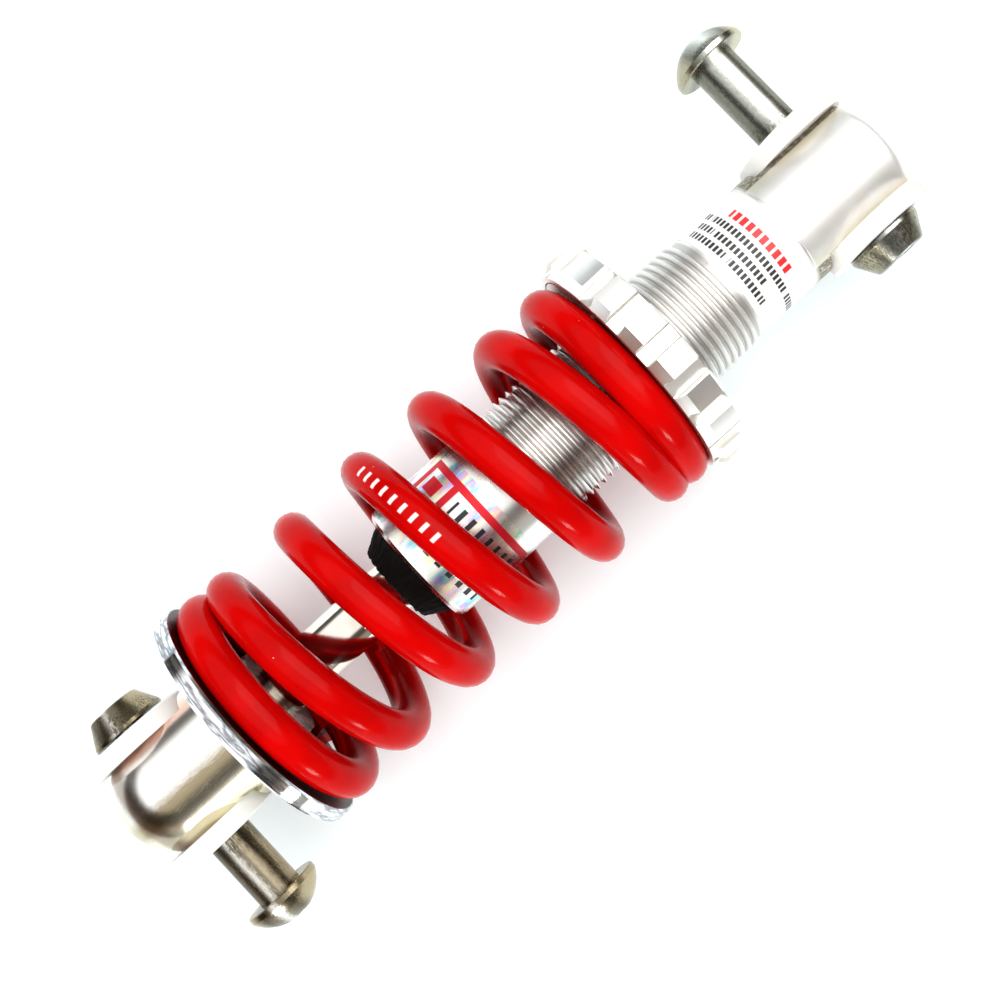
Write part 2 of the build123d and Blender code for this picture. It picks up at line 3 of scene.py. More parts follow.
import bpy
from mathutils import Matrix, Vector
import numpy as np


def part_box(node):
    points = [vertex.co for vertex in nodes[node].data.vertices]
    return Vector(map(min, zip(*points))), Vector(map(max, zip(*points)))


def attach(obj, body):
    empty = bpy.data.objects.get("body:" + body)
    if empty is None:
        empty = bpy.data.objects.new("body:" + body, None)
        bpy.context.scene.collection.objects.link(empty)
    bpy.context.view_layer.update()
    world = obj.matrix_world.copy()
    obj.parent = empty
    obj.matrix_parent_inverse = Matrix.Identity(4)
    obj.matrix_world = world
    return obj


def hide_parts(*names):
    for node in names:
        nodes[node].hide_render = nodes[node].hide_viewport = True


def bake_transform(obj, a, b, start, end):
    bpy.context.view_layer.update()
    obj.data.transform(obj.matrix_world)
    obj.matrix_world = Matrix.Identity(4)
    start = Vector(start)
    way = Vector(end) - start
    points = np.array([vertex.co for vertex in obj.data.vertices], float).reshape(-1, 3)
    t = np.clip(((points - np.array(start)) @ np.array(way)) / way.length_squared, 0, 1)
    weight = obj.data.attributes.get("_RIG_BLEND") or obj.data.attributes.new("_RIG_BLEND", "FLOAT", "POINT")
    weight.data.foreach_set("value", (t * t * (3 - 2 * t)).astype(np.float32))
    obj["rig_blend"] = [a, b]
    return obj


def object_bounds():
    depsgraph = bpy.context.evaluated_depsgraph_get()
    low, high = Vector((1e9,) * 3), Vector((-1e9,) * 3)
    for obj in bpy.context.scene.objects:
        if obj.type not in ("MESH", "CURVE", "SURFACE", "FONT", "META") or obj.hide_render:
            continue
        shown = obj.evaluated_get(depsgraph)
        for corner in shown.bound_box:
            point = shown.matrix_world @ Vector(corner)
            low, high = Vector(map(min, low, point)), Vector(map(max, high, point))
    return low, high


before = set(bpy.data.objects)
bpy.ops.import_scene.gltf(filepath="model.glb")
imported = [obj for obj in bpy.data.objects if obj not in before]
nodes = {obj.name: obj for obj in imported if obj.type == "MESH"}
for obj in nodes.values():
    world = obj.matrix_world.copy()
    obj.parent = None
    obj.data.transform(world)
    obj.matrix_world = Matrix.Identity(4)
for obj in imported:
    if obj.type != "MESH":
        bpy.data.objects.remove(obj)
bpy.ops.object.select_all(action="DESELECT")
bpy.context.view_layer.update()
print("frame loaded:", len(nodes), "nodes")

mm = 0.001
turnAngle = 2 * math.pi


# a Signal is one output socket, and a Finish is one material

class Signal:
    def __init__(self, finish, socket):
        self.finish = finish
        self.socket = socket

    def __add__(self, other):
        return self.finish.sum("ADD", self, other)

    __radd__ = __add__

    def __sub__(self, other):
        return self.finish.sum("SUBTRACT", self, other)

    def __rsub__(self, other):
        return self.finish.sum("SUBTRACT", other, self)

    def __mul__(self, other):
        return self.finish.sum("MULTIPLY", self, other)

    __rmul__ = __mul__

    def __truediv__(self, other):
        return self.finish.sum("DIVIDE", self, other)


class Finish:
    def __init__(self, name, **constants):
        self.material = bpy.data.materials.new(name)
        self.material.use_nodes = True
        self.tree = self.material.node_tree
        self.shader = self.tree.nodes["Principled BSDF"]
        for socket, amount in constants.items():
            self.shader.inputs[socket.replace("_", " ")].default_value = amount

    def node(self, kind, settings=None, sockets=None, out=0):
        made = self.tree.nodes.new(kind)
        for key, value in (settings or {}).items():
            if key == "stops":  # a ramp's colours
                ramp = made.color_ramp
                while len(ramp.elements) < len(value):
                    ramp.elements.new(0.5)
                for element, (place, colour) in zip(ramp.elements, value):
                    element.position = place
                    element.color = (*colour, 1)
            else:
                setattr(made, key, value)
        for key, value in (sockets or {}).items():
            socket = made.inputs[key]
            if isinstance(value, Signal):
                self.tree.links.new(value.socket, socket)
            else:
                socket.default_value = value
        return Signal(self, made.outputs[out])

    def sum(self, operation, *parts):
        return self.node("ShaderNodeMath", {"operation": operation}, dict(enumerate(parts)))

    def point(self, turned=(0, 0, 0), centre=(0, 0, 0)):
        raw = self.node("ShaderNodeTexCoord", out=3)
        if any(centre):
            raw = self.node("ShaderNodeVectorMath", {"operation": "SUBTRACT"}, {0: raw, 1: centre})
        if any(turned):
            raw = self.node("ShaderNodeMapping", {}, {"Vector": raw, "Rotation": turned})
        return raw

    def split(self, vector):
        made = self.tree.nodes.new("ShaderNodeSeparateXYZ")
        self.tree.links.new(vector.socket, made.inputs[0])
        return [Signal(self, out) for out in made.outputs]

    def joined(self, x, y, z):
        return self.node("ShaderNodeCombineXYZ", {}, {0: x, 1: y, 2: z})

    def stretched(self, vector, sizes):
        scale = tuple(1 / (size * mm) for size in sizes)
        return self.node("ShaderNodeVectorMath", {"operation": "MULTIPLY"}, {0: vector, 1: scale})

    def grain(self, vector, sizes, detail=2.0, roughness=0.5):
        return self.node("ShaderNodeTexNoise", {}, {
            "Vector": self.stretched(vector, sizes), "Scale": 1.0, "Detail": detail, "Roughness": roughness})

    def specks(self, vector, cell, size):
        # small round marks, one in each cell of that size in mm
        far = self.node("ShaderNodeTexVoronoi", {}, {"Vector": self.stretched(vector, (cell,) * 3), "Scale": 1.0})
        return self.ease(far, size / cell, size / cell * 0.5)

    def ease(self, signal, low, high):
        return self.node("ShaderNodeMapRange", {"interpolation_type": "SMOOTHSTEP"}, {
            0: signal, 1: low, 2: high})

    def between(self, signal, low, high, soft):
        return self.ease(signal, low - soft, low + soft) * self.ease(signal, high + soft, high - soft)

    def mixed(self, factor, first, second):
        made = self.tree.nodes.new("ShaderNodeMix")
        made.data_type = "RGBA"
        for place, value in ((0, factor), (6, first), (7, second)):
            if isinstance(value, Signal):
                self.tree.links.new(value.socket, made.inputs[place])
            else:
                made.inputs[place].default_value = value if place == 0 else (*value, 1)
        return Signal(self, made.outputs[2])

    def ramp(self, signal, stops):
        return self.node("ShaderNodeValToRGB", {"stops": stops}, {0: signal})

    def bump(self, height, depth, strength=1.0, under=None):
        sockets = {"Height": height, "Distance": depth * mm, "Strength": strength}
        if under:
            sockets["Normal"] = under
        return self.node("ShaderNodeBump", {}, sockets)

    def feed(self, **sockets):
        for name, value in sockets.items():
            socket = self.shader.inputs[name.replace("_", " ")]
            self.tree.links.new(value.socket, socket)
        return self.material


def wear(piece, material):
    piece.data.materials.clear()
    piece.data.materials.append(material)


# coil spring: one wire that follows the coil, cut flat at both ends
spring = {
    "wire": 6.8, "seatRadius": 18.9, "nutRadius": 17.9, "offset": 0.4, "turns": 6.0, "startTurn": 0.25, "deadPitch": 1.5,
    "riseTurns": 0.88, "fallTurns": 0.824, "flatTurns": 0.176, "spareTurns": 0.6,
    "pointsPerTurn": 24, "smoothSteps": 5, "bevelSteps": 7, "movingFrom": 0.65, "movingTo": 5.0, "movingEase": 0.25}
springLow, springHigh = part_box("coil_spring")
springSeat, springTop = springLow.x / mm, springHigh.x / mm
fallStart = spring["turns"] - spring["fallTurns"] - spring["flatTurns"]
fullTurns = fallStart - spring["riseTurns"] / 2 + spring["fallTurns"] / 2
activePitch = (springTop - springSeat - spring["wire"] - spring["deadPitch"] * (spring["turns"] - fullTurns)) / fullTurns


def wireHeight(turn):
    dead, rise, fall = spring["deadPitch"], spring["riseTurns"], spring["fallTurns"]
    base = springSeat + spring["wire"] / 2
    if turn <= 0:
        return base + dead * turn
    climb = min(turn, rise)
    drop = min(max(0.0, turn - fallStart), fall)
    height = base + dead * climb + (activePitch - dead) * climb ** 2 / 2 / rise
    height += activePitch * max(0.0, min(turn, fallStart) - rise)
    height += activePitch * drop - (activePitch - dead) * drop ** 2 / 2 / fall
    return height + dead * max(0.0, turn - fallStart - fall)


def wireRadius(turn):
    return spring["seatRadius"] + (spring["nutRadius"] - spring["seatRadius"]) * turn / spring["turns"]


def movedShare(turn):
    # 1 where the wire goes with the lower seat, 0 where it stays at the nut
    start, end, ease = spring["movingFrom"], spring["movingTo"], spring["movingEase"]

    def run(t):
        t = min(max(t, start), end) - start
        length = end - start
        if t < ease:
            return t * t / 2 / ease
        if t > length - ease:
            return length - ease - (length - t) ** 2 / 2 / ease
        return t - ease / 2

    return 1 - run(turn) / run(end)


def makeSpring():
    bpy.ops.curve.primitive_nurbs_path_add(location=(0, 0, 0))
    wire = bpy.context.object
    wire.name = wire.data.name = "spring_wire"
    line = wire.data.splines[0]
    perTurn = spring["pointsPerTurn"]
    count = round((spring["turns"] + 2 * spring["spareTurns"]) * perTurn) + 1
    line.points.add(count - len(line.points))
    bulge = 3 / (2 + math.cos(turnAngle / perTurn))  # the curve runs this much inside its points
    for index, knot in enumerate(line.points):
        turn = -spring["spareTurns"] + index / perTurn
        angle = turnAngle * (turn + spring["startTurn"])
        reach = wireRadius(turn) * bulge * mm
        knot.co = (wireHeight(turn) * mm, reach * math.cos(angle) - spring["offset"] * mm, reach * math.sin(angle), 1)
    line.order_u = 4
    line.use_endpoint_u = True
    line.resolution_u = spring["smoothSteps"]
    wire.data.dimensions = "3D"
    wire.data.bevel_depth = spring["wire"] / 2 * mm
    wire.data.bevel_resolution = spring["bevelSteps"]
    wire.data.use_fill_caps = True
    bpy.ops.object.convert(target="MESH")
    bpy.ops.object.mode_set(mode="EDIT")
    bpy.ops.mesh.select_mode(type="VERT")
    bpy.ops.mesh.select_all(action="SELECT")
    bpy.ops.mesh.remove_doubles(threshold=1e-6)
    for place, side in ((springSeat * mm, -1), (springTop * mm, 1)):
        bpy.ops.mesh.select_all(action="DESELECT")
        bpy.ops.object.mode_set(mode="OBJECT")
        for corner in wire.data.vertices:
            corner.select = (corner.co.x - place) * side > 0
        bpy.ops.object.mode_set(mode="EDIT")
        bpy.ops.transform.resize(value=(0, 1, 1), orient_type="GLOBAL", center_override=(place, 0, 0))  # the ground end
    bpy.ops.mesh.select_all(action="SELECT")
    bpy.ops.mesh.normals_make_consistent(inside=False)
    bpy.ops.object.mode_set(mode="OBJECT")
    bpy.ops.object.shade_smooth_by_angle(angle=math.radians(40))
    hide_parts("coil_spring")
    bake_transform(wire, "damper", "sliding_band", start=(springTop * mm, 0, 0), end=(springSeat * mm, 0, 0))
    shape = wire.data
    along = shape.attributes.new("wireTurn", "FLOAT", "POINT")
    across = shape.attributes.new("wireSide", "FLOAT", "POINT")
    share = shape.attributes["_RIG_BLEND"]
    for index, corner in enumerate(shape.vertices):
        place = corner.co / mm
        sideways = place.y + spring["offset"]
        base = math.atan2(place.z, sideways) / turnAngle - spring["startTurn"]
        turn = min((base + step for step in range(-1, 9)), key=lambda t: abs(place.x - wireHeight(t)))
        reach = math.hypot(sideways, place.z) - wireRadius(turn)
        along.data[index].value = turn
        across.data[index].value = math.atan2(place.x - wireHeight(turn), reach)
        share.data[index].value = movedShare(turn)
    return wire


wire = makeSpring()
print("spring:", len(wire.data.vertices), "points")


# bump stop: a soft rubber cone with a torn edge
bumpStop = {"rodHole": 5.1, "rim": 9.75, "nose": 7.2, "lumps": 0.9, "lumpDepth": 0.75, "edgeRound": 0.35}


def makeBumpStop():
    low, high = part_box("bump_stop")
    length = high.x - low.x
    bpy.ops.object.select_all(action="DESELECT")
    bpy.ops.mesh.primitive_cone_add(
        vertices=128, radius1=bumpStop["rim"] * mm, radius2=bumpStop["nose"] * mm, depth=length,
        location=((low.x + high.x) / 2, 0, 0), rotation=(0, -math.pi / 2, 0))
    stop = bpy.context.object
    stop.name = stop.data.name = "bump_rubber"
    bpy.ops.object.transform_apply(location=True, rotation=True, scale=True)
    for side, outer in ((-1, bumpStop["nose"]), (1, bumpStop["rim"])):
        bpy.ops.object.mode_set(mode="EDIT")
        bpy.ops.mesh.select_mode(type="FACE")
        bpy.ops.mesh.select_all(action="DESELECT")
        bpy.ops.object.mode_set(mode="OBJECT")
        for face in stop.data.polygons:
            face.select = face.normal.x * side > 0.99
        bpy.ops.object.mode_set(mode="EDIT")
        bpy.ops.mesh.inset(thickness=(outer - bumpStop["rodHole"]) * mm)
    bpy.ops.object.mode_set(mode="OBJECT")
    for face in stop.data.polygons:
        face.select = abs(face.normal.x) > 0.99 and len(face.vertices) > 4
    bpy.ops.object.mode_set(mode="EDIT")
    bpy.ops.mesh.bridge_edge_loops()
    bpy.ops.mesh.select_all(action="SELECT")
    bpy.ops.mesh.normals_make_consistent(inside=False)
    bpy.ops.object.mode_set(mode="OBJECT")
    rounding = stop.modifiers.new("rounding", "BEVEL")
    rounding.width = bumpStop["edgeRound"] * mm
    rounding.segments = 2
    rounding.limit_method = "ANGLE"
    bpy.ops.object.modifier_apply(modifier="rounding")
    finer = stop.modifiers.new("finer", "SUBSURF")
    finer.subdivision_type = "SIMPLE"
    finer.levels = finer.render_levels = 2
    bpy.ops.object.modifier_apply(modifier="finer")
    lumps = bpy.data.textures.new("rubberLumps", "CLOUDS")
    lumps.noise_scale = bumpStop["lumps"] * mm
    lumps.noise_depth = 3
    torn = stop.modifiers.new("torn", "DISPLACE")
    torn.texture = lumps
    torn.texture_coords = "LOCAL"
    torn.strength = bumpStop["lumpDepth"] * mm
    torn.mid_level = 0.6
    bpy.ops.object.modifier_apply(modifier="torn")
    bpy.ops.object.shade_smooth_by_angle(angle=math.radians(60))
    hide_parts("bump_stop")
    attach(stop, "damper")
    return stop


bumpRubber = makeBumpStop()
print("bump stop:", len(bumpRubber.data.vertices), "points")


# finishes
def redPowderCoat():
    coat = Finish("redPowderCoat", Specular_IOR_Level=0.03, Coat_Roughness=0.04)
    place = coat.point()
    turn = coat.node("ShaderNodeAttribute", {"attribute_name": "wireTurn"}, out=2)
    side = coat.node("ShaderNodeAttribute", {"attribute_name": "wireSide"}, out=2)
    cloud = coat.grain(place, (9, 9, 9), 3)
    fine = coat.grain(place, (0.9, 0.9, 0.9), 2)
    paint = coat.mixed(coat.ease(cloud, 0.3, 0.7), (0.62, 0.0012, 0.001), (0.50, 0.0006, 0.0006))
    # painted shade: the side of the wire that faces the axis is darkened
    paintedInnerShade = coat.ease(side * side, 3.0, 6.5)
    paint = coat.mixed(paintedInnerShade * 0.75, paint, (0.14, 0.0002, 0.0004))
    dust = coat.specks(place, 7, 0.16)
    paint = coat.mixed(dust * 0.7, paint, (0.85, 0.45, 0.40))
    # a row of plain painted dashes along one coil
    step = coat.sum("FRACT", turn * 58.0)
    dash = coat.between(step, 0.25, 0.55, 0.05) * coat.between(turn, 2.845, 3.0, 0.001)
    dash = dash * coat.between(side, -0.42, 0.12, 0.03)
    paint = coat.mixed(dash, paint, (0.95, 0.93, 0.90))
    rough = 0.16 + fine * 0.08 + dust * 0.3
    gloss = 1.0 - dust * 0.8
    return coat.feed(Base_Color=paint, Roughness=rough, Coat_Weight=gloss * 0.06, Normal=coat.bump(fine, 0.012, 0.6))


def plated(name, bright, dull, rough, grainSize=0.25, grainDepth=0.004, ripple=3.0, rippleDepth=0.02):
    metal = Finish(name, Metallic=1.0)
    place = metal.point()
    broad = metal.grain(place, (ripple,) * 3, 2)
    fine = metal.grain(place, (grainSize,) * 3, 3, 0.6)
    stain = metal.ease(metal.grain(place, (7, 7, 7), 4, 0.6), 0.52, 0.75)
    pit = metal.specks(place, 2.6, 0.09)
    colour = metal.mixed(metal.ease(broad, 0.35, 0.65), bright, dull)
    colour = metal.mixed(stain * 0.35, colour, tuple(part * 0.55 for part in dull))
    colour = metal.mixed(pit * 0.6, colour, (0.10, 0.08, 0.06))
    shine = rough + fine * rough * 0.6 + stain * 0.08 + pit * 0.3
    lean = metal.bump(broad, rippleDepth)
    lean = metal.bump(fine, grainDepth, 1.0, lean)
    return metal.feed(Base_Color=colour, Roughness=shine, Normal=lean)


def turnedMetal(name, bright, dull, rough, ringSize=0.16, ringDepth=0.004):
    # fine rings from the lathe round the shock
    metal = Finish(name, Metallic=1.0)
    place = metal.point()
    along = metal.split(place)[0]
    rings = metal.grain(metal.joined(along, 0.0, 0.0), (ringSize,) * 3, 3, 0.7)
    cloud = metal.grain(place, (4, 4, 4), 3)
    pit = metal.specks(place, 2.2, 0.1)
    colour = metal.mixed(metal.ease(cloud, 0.35, 0.7), bright, dull)
    colour = metal.mixed(metal.ease(rings, 0.45, 0.75) * 0.35, colour, tuple(part * 0.6 for part in dull))
    colour = metal.mixed(pit * 0.6, colour, (0.12, 0.10, 0.08))
    shine = rough + rings * rough * 0.7 + cloud * 0.04
    return metal.feed(Base_Color=colour, Roughness=shine, Normal=metal.bump(rings, ringDepth))


def boltSteel(name, reflectionTones, turned=(0, 0, 0), centre=(0, 0, 0)):
    # worn steel, grimy where it meets the bush, with painted reflections: light and dark streaks along the bolt, set
    # across it by the tones
    metal = Finish(name, Metallic=1.0)
    place = metal.point(turned, centre)
    across, along = metal.split(place)[:2]
    grit = metal.grain(place, (0.3, 1.1, 0.3), 4, 0.7)
    rings = metal.grain(metal.joined(0.0, along, 0.0), (0.2,) * 3, 3, 0.7)
    # painted reflection: a ramp across the bolt, light in the middle and dark at the sides
    paintedReflectionStreak = metal.ramp((across / mm + (grit - 0.5) * 2.4) / 14 + 0.5, reflectionTones)
    grimy = metal.between(metal.sum("ABSOLUTE", along) / mm, 11.0, 15.5, 1.5) * metal.ease(grit, 0.38, 0.6)
    colour = metal.mixed(grimy * 0.75, paintedReflectionStreak, (0.05, 0.04, 0.025))
    pit = metal.specks(place, 1.1, 0.1)
    colour = metal.mixed(pit * 0.7, colour, (0.04, 0.03, 0.02))
    rough = 0.20 + rings * 0.12 + metal.ease(grit, 0.5, 0.8) * 0.18
    normal = metal.bump(grit, 0.006)
    return metal.feed(Base_Color=colour, Roughness=rough, Normal=metal.bump(rings, 0.004, 1.0, normal))


def seatChrome():
    # a mirror rim with cloudy patches, and painted shade: the face where the coil rests is painted near black
    metal = Finish("seatChrome", Metallic=1.0)
    place = metal.point()
    x, y, z = metal.split(place)
    along = x / mm
    reach = metal.sum("SQRT", y * y + z * z) / mm
    patch = metal.ramp(metal.grain(place, (1.1, 7, 7), 3, 0.55), [
        (0.34, (0.92, 0.93, 0.95)), (0.47, (0.88, 0.89, 0.92)), (0.53, (0.30, 0.33, 0.40)), (0.58, (0.06, 0.06, 0.07)),
        (0.63, (0.60, 0.64, 0.72)), (0.70, (0.93, 0.93, 0.94))])
    fine = metal.grain(place, (0.3, 0.3, 0.3), 3, 0.6)
    # painted shade on the face under the coil, mottled between two near blacks
    shadeMottle = metal.ease(metal.grain(place, (1.2, 1.2, 1.2), 4, 0.6), 0.3, 0.6)
    face = metal.ease(along, 18.80, 18.88) * metal.ease(reach, 22.5, 22.2)
    rim = metal.ease(reach, 22.1, 22.5)
    colour = metal.mixed(rim * 0.7 + 0.06, (0.90, 0.91, 0.93), patch)
    colour = metal.mixed(face, colour, metal.mixed(shadeMottle, (0.05, 0.045, 0.04), (0.015, 0.013, 0.012)))
    pit = metal.specks(place, 2.6, 0.09)
    colour = metal.mixed(pit * 0.6, colour, (0.10, 0.08, 0.06))
    rough = 0.06 + fine * 0.04 + face * 0.25 + pit * 0.3
    return metal.feed(Base_Color=colour, Roughness=rough, Normal=metal.bump(fine, 0.003))


def eyeNickel():
    # satin plating, with painted reflections: long light, dark, olive and copper bands round the bar
    metal = Finish("eyeNickel", Metallic=1.0)
    place = metal.point()
    x, y, z = metal.split(place)
    grit = metal.grain(place, (1.6, 0.35, 0.35), 4, 0.7)
    fine = metal.grain(place, (0.22, 0.22, 0.22), 3, 0.6)
    around = y / mm + (grit - 0.5) * 2.2
    # painted reflection: light and dark bands across the bar
    paintedReflectionBands = metal.ramp(around / 24.0 + 0.5, [
        (0.06, (0.42, 0.38, 0.24)), (0.13, (0.93, 0.88, 0.66)), (0.30, (0.95, 0.91, 0.76)), (0.38, (0.30, 0.25, 0.16)),
        (0.45, (0.40, 0.33, 0.22)), (0.52, (0.96, 0.95, 0.92)), (0.78, (0.97, 0.96, 0.94)), (0.86, (0.80, 0.50, 0.38)),
        (0.94, (0.93, 0.74, 0.66))])
    reach = metal.sum("SQRT", x * x + z * z) / mm
    depth = x / mm + (grit - 0.5) * 1.5
    # painted reflection: olive towards the domed end and a dark brown band across the dome
    colour = metal.mixed(metal.ease(depth, -6.5, -8.5) * 0.6, paintedReflectionBands, (0.60, 0.55, 0.38))
    colour = metal.mixed(metal.between(depth, -7.0, -3.5, 1.0) * 0.7, colour, (0.20, 0.12, 0.07))
    hub = metal.ease(reach, 8.4, 7.6)
    colour = metal.mixed(hub * 0.5, colour, (0.30, 0.20, 0.12))
    pit = metal.specks(place, 2.6, 0.09)
    colour = metal.mixed(pit * 0.6, colour, (0.12, 0.09, 0.06))
    rough = 0.14 + fine * 0.10 + metal.ease(grit, 0.55, 0.75) * 0.12 + pit * 0.3
    normal = metal.bump(metal.grain(place, (4, 4, 4), 2), 0.01)
    return metal.feed(Base_Color=colour, Roughness=rough, Normal=metal.bump(fine, 0.004, 1.0, normal))


def moulded(name, pale, deep, rough, lumpSize=1.2, lumpDepth=0.02, fleck=(0.5, 0.45, 0.38), fleckShare=0.5, **constants):
    stuff = Finish(name, **constants)
    place = stuff.point()
    cloud = stuff.grain(place, (5, 5, 5), 3)
    lump = stuff.grain(place, (lumpSize,) * 3, 3, 0.6)
    fleckMask = stuff.specks(place, 3.1, 0.13)
    colour = stuff.mixed(stuff.ease(cloud, 0.3, 0.7), pale, deep)
    colour = stuff.mixed(fleckMask * fleckShare, colour, fleck)
    return stuff.feed(Base_Color=colour, Roughness=rough + lump * 0.15, Normal=stuff.bump(lump, lumpDepth))


def bodyAluminium():
    # one turned piece: rings on the plain end, a bright thread, a satin upper eye
    body = Finish("bodyAluminium", Metallic=1.0)
    place = body.point()
    x, y, z = body.split(place)
    reach = body.sum("SQRT", y * y + z * z) / mm
    along = x / mm
    rings = body.grain(body.joined(x, 0.0, 0.0), (0.13,) * 3, 3, 0.7)
    blast = body.grain(place, (0.35, 0.35, 0.35), 3, 0.65)
    cloud = body.grain(place, (5, 5, 5), 3)
    dirt = body.grain(place, (0.9, 0.5, 0.5), 4, 0.65)
    threadZone = body.between(along, 76.0, 123.4, 0.3)
    eyeZone = body.ease(along, 136.2, 137.2)
    # painted shade: the thread roots are darkened
    paintedRootShade = body.ease(reach, 11.25, 10.75) * threadZone
    colour = body.mixed(body.ease(cloud, 0.35, 0.7), (0.96, 0.96, 0.95), (0.91, 0.90, 0.88))
    colour = body.mixed(paintedRootShade * 0.6, colour, (0.36, 0.34, 0.31))
    colour = body.mixed(body.ease(dirt, 0.62, 0.8) * threadZone * 0.7, colour, (0.22, 0.18, 0.14))
    colour = body.mixed(body.ease(rings, 0.5, 0.8) * (1.0 - eyeZone) * 0.25, colour, (0.55, 0.52, 0.47))
    stain = body.ease(dirt, 0.66, 0.82) * eyeZone
    colour = body.mixed(stain * 0.35, colour, (0.60, 0.52, 0.38))
    champagne = body.ease(body.sum("ABSOLUTE", y) / mm, 6.2, 8.4) * eyeZone
    colour = body.mixed(champagne * 0.6, colour, (0.80, 0.74, 0.56))
    # painted shade: a dark line in the gap where the eye meets the bush
    dark = body.ease(body.sum("ABSOLUTE", y) / mm, 8.45, 8.75) * eyeZone * body.ease(dirt, 0.3, 0.5)
    colour = body.mixed(dark * 0.8, colour, (0.12, 0.09, 0.05))
    rough = 0.20 + body.ease(along, 100, 108) * (1.0 - eyeZone) * 0.2 + eyeZone * 0.2 + rings * 0.08 + blast * eyeZone * 0.1
    lean = body.bump(rings * (1.0 - eyeZone), 0.006)
    lean = body.bump(blast * eyeZone, 0.01, 1.0, lean)
    return body.feed(Base_Color=colour, Roughness=rough, Normal=lean)


foilPrint = {
    "radius": 11.6, "frameLow": 62.6, "frameHigh": 69.7, "line": 1.35, "left": 58.0, "right": -71.0, "divider": 24.0}


def foilLabel():
    # silver rainbow foil with a red frame, a plain red block and rows of plain dark bars
    foil = Finish("foilLabel")
    place = foil.point()
    x, y, z = foil.split(place)
    along = x / mm
    angle = foil.sum("ARCTAN2", y, z) * (180 / math.pi)
    arc = angle * (foilPrint["radius"] * math.pi / 180)
    drift = foil.grain(foil.joined(x * 0.25, y, z), (3.2, 3.2, 3.2), 2, 0.5)
    hue = foil.sum("FRACT", drift * 3.4 + along * 0.035)
    rainbow = foil.ramp(hue, [
        (0.0, (0.93, 0.93, 0.90)), (0.22, (0.95, 0.88, 0.50)), (0.36, (0.95, 0.56, 0.50)), (0.48, (0.80, 0.48, 0.88)),
        (0.6, (0.36, 0.46, 0.95)), (0.72, (0.32, 0.88, 0.90)), (0.84, (0.58, 0.92, 0.60)), (1.0, (0.93, 0.93, 0.90))])
    vivid = foil.ease(foil.grain(foil.joined(x * 0.5, y, z), (2.4, 2.4, 2.4), 2), 0.38, 0.58)
    colour = foil.mixed(vivid * 0.95, (0.90, 0.89, 0.86), rainbow)
    half = foilPrint["line"] / 2
    rim = half / foilPrint["radius"] * 180 / math.pi
    high, low = foilPrint["frameHigh"], foilPrint["frameLow"]
    left, right, middle = foilPrint["left"], foilPrint["right"], foilPrint["divider"]
    inside = foil.between(angle, right - rim, left + rim, 0.2)
    tall = foil.between(along, low - half, high, 0.04)
    lines = foil.between(along, high - foilPrint["line"], high, 0.04) * inside
    lines = foil.sum("MAXIMUM", lines, foil.between(along, low - half, low + half, 0.04) * inside)
    for lineAngle in (left, right, middle):
        lines = foil.sum("MAXIMUM", lines, foil.between(angle, lineAngle - rim, lineAngle + rim, 0.25) * tall)
    block = foil.between(angle, middle + 10, left - 8, 0.25) * foil.between(along, low + 1.7, high - 2.6, 0.05)
    lines = foil.sum("MAXIMUM", lines, block)
    step = foil.sum("FRACT", arc / 2.1)
    tallBar = foil.between(step, 0.2, 0.62, 0.03)
    rowHigh = foil.between(along, 64.6, 67.2, 0.05) * foil.between(angle, right + 9, middle - 9, 0.3) * tallBar
    wide = foil.sum("FRACT", arc / 2.6 + 0.3)
    rowLow = foil.between(along, 57.6, 60.6, 0.05) * foil.between(angle, -64, 44, 0.3) * foil.between(wide, 0.2, 0.66, 0.03)
    bars = foil.sum("MAXIMUM", rowHigh, rowLow)
    colour = foil.mixed(lines, colour, (0.66, 0.004, 0.02))
    colour = foil.mixed(bars, colour, (0.006, 0.006, 0.007))
    printed = foil.sum("MAXIMUM", lines * 0.55, bars)
    crease = foil.grain(place, (1.6, 0.7, 0.7), 3, 0.55)
    worn = foil.specks(place, 2.3, 0.1)
    colour = foil.mixed(worn * 0.6, colour, (0.25, 0.22, 0.2))
    return foil.feed(
        Base_Color=colour, Metallic=1.0 - printed, Roughness=0.24 + printed * 0.15 + crease * 0.08,
        Normal=foil.bump(crease, 0.012))


neckPrint = {"radius": 10.7, "heading": 132.1, "headingTall": 1.6, "rows": (129.8, 127.7, 125.7), "rowTall": 1.25}


